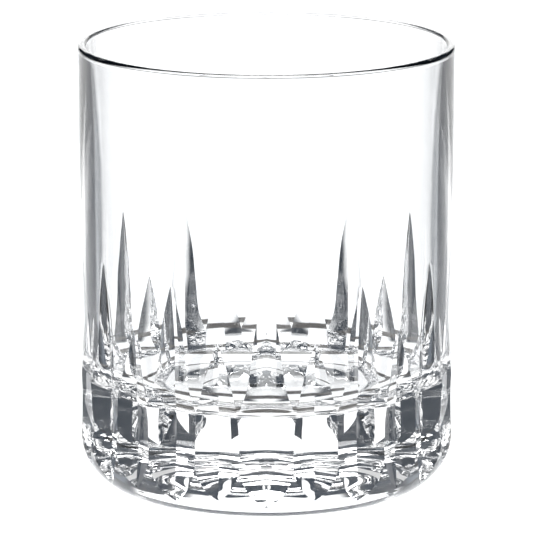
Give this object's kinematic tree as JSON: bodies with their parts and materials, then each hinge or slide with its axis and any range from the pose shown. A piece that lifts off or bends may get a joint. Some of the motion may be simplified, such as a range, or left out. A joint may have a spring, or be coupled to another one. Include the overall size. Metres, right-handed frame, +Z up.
{
  "type": "whisky tumbler",
  "caption": "Heavy-based clear crystal tumbler for spirits, with long and short upright wheel cuts around its lower half and a plain wall above.",
  "frame": {"origin": "centre of the foot, on the surface that the tumbler stands on", "axes": "+Z up the tumbler's axis towards the rim; a long cut faces each of -Y, +Y, -X and +X"},
  "size_m": [0.084, 0.084, 0.101],
  "materials": {
    "crystal": "clear, polished"
  },
  "bodies": {
    "root": {"crystal_tumbler": "crystal"}
  },
  "joints": []
}
